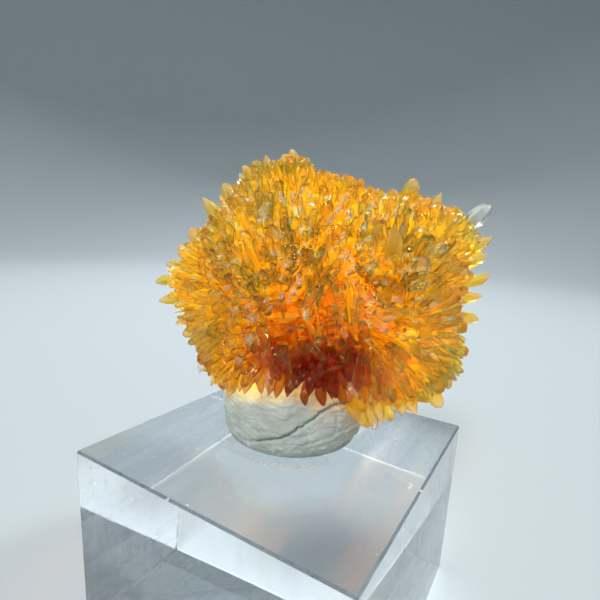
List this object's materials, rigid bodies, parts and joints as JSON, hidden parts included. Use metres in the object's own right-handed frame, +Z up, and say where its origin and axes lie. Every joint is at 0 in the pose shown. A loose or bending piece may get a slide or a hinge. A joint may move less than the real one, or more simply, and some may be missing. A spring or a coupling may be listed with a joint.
{
  "type": "creedite crystal cluster on an acrylic block",
  "caption": "Orange creedite: a rounded cluster of bladed, see-through crystals, stuck with a lump of putty on a clear acrylic block.",
  "frame": {"origin": "middle of the acrylic block's underside", "axes": "+Z up; +X and +Y along the block's sides, with the cluster's broad face turned 31 degrees from the block's -Y wall towards its +X wall"},
  "size_m": [0.0316, 0.0314, 0.0501],
  "materials": {
    "acrylic": "clear polished acrylic",
    "putty": "dull pale grey-green putty with fine wrinkles",
    "creedite": "glassy orange crystal, yellow at the tips and red-orange where it is thick"
  },
  "bodies": {
    "root": {"acrylic_block": "acrylic", "putty": "putty", "crystal_cluster": "creedite"}
  },
  "joints": []
}
